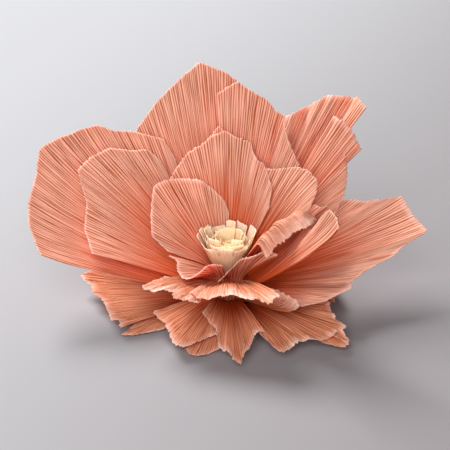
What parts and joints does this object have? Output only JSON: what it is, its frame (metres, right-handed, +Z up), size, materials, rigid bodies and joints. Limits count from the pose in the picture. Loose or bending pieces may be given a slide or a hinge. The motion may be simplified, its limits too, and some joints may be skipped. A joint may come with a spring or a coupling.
{
  "type": "crepe paper flower head",
  "caption": "Large peony head of coral crepe paper with a fringed cream heart, standing on its bound foot.",
  "frame": {"origin": "centre of the flat foot, on the plane it stands on", "axes": "+Z up along the axis of the flower, -Y to the front, which is the lower and more open side"},
  "size_m": [0.2467, 0.1638, 0.1331],
  "materials": {
    "coral_crepe": "matte",
    "cream_crepe": "matte",
    "steel_wire": "satin"
  },
  "bodies": {
    "root": {"core_roll": "cream_crepe", "inner_left_petal": "coral_crepe", "inner_front_left_petal": "coral_crepe", "inner_back_petal": "coral_crepe", "inner_right_petal": "coral_crepe", "folded_petal": "coral_crepe", "inner_front_right_petal": "coral_crepe", "narrow_right_petal": "coral_crepe", "back_tip_petal": "coral_crepe", "middle_left_petal": "coral_crepe", "back_right_petal": "coral_crepe", "outer_left_petal": "coral_crepe", "back_left_petal": "coral_crepe", "narrow_back_petal": "coral_crepe", "right_side_petal": "coral_crepe", "right_back_petal": "coral_crepe", "upper_right_petal": "coral_crepe", "lower_right_petal": "coral_crepe", "front_lip_petal": "coral_crepe", "left_lip_petal": "coral_crepe", "right_lip_petal": "coral_crepe", "skirt_back_petal": "coral_crepe", "skirt_back_left_petal": "coral_crepe", "skirt_back_right_petal": "coral_crepe", "skirt_right_petal": "coral_crepe", "skirt_front_right_petal": "coral_crepe", "skirt_front_petal": "coral_crepe", "skirt_front_left_petal": "coral_crepe", "skirt_left_petal": "coral_crepe", "skirt_under_front_petal": "coral_crepe", "skirt_under_left_petal": "coral_crepe", "binding_wire": "steel_wire"}
  },
  "joints": []
}
